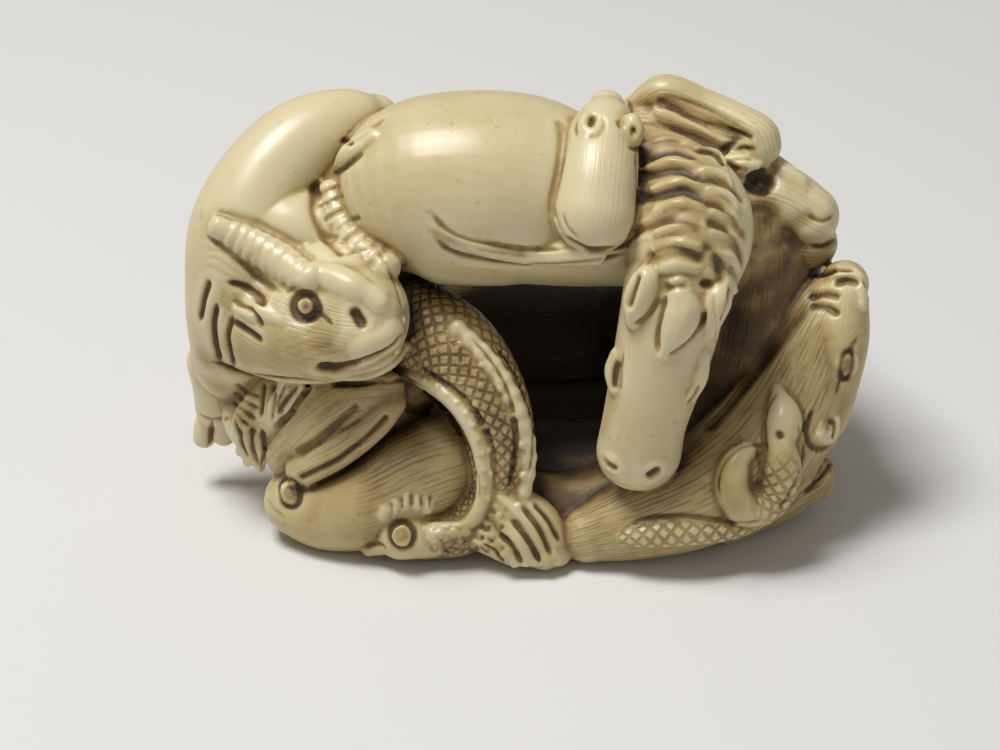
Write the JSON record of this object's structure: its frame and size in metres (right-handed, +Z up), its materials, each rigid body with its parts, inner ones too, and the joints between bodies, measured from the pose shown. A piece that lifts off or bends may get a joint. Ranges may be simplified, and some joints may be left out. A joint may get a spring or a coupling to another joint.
{
  "type": "netsuke",
  "caption": "Carved toggle: a closed group of zodiac animals curled round one another, flat underneath, with an open way under the horse's belly for a cord.",
  "frame": {"origin": "middle of the bounding box at the height of the flat underside", "axes": "+X from the goat's flank to the dog's head, +Y from the horse's face to the hidden back, +Z up"},
  "size_m": [0.046, 0.0286, 0.0302],
  "materials": {
    "ivory": "polished old ivory, stained brown in the cuts"
  },
  "bodies": {
    "root": {"netsuke": "ivory"}
  },
  "joints": []
}
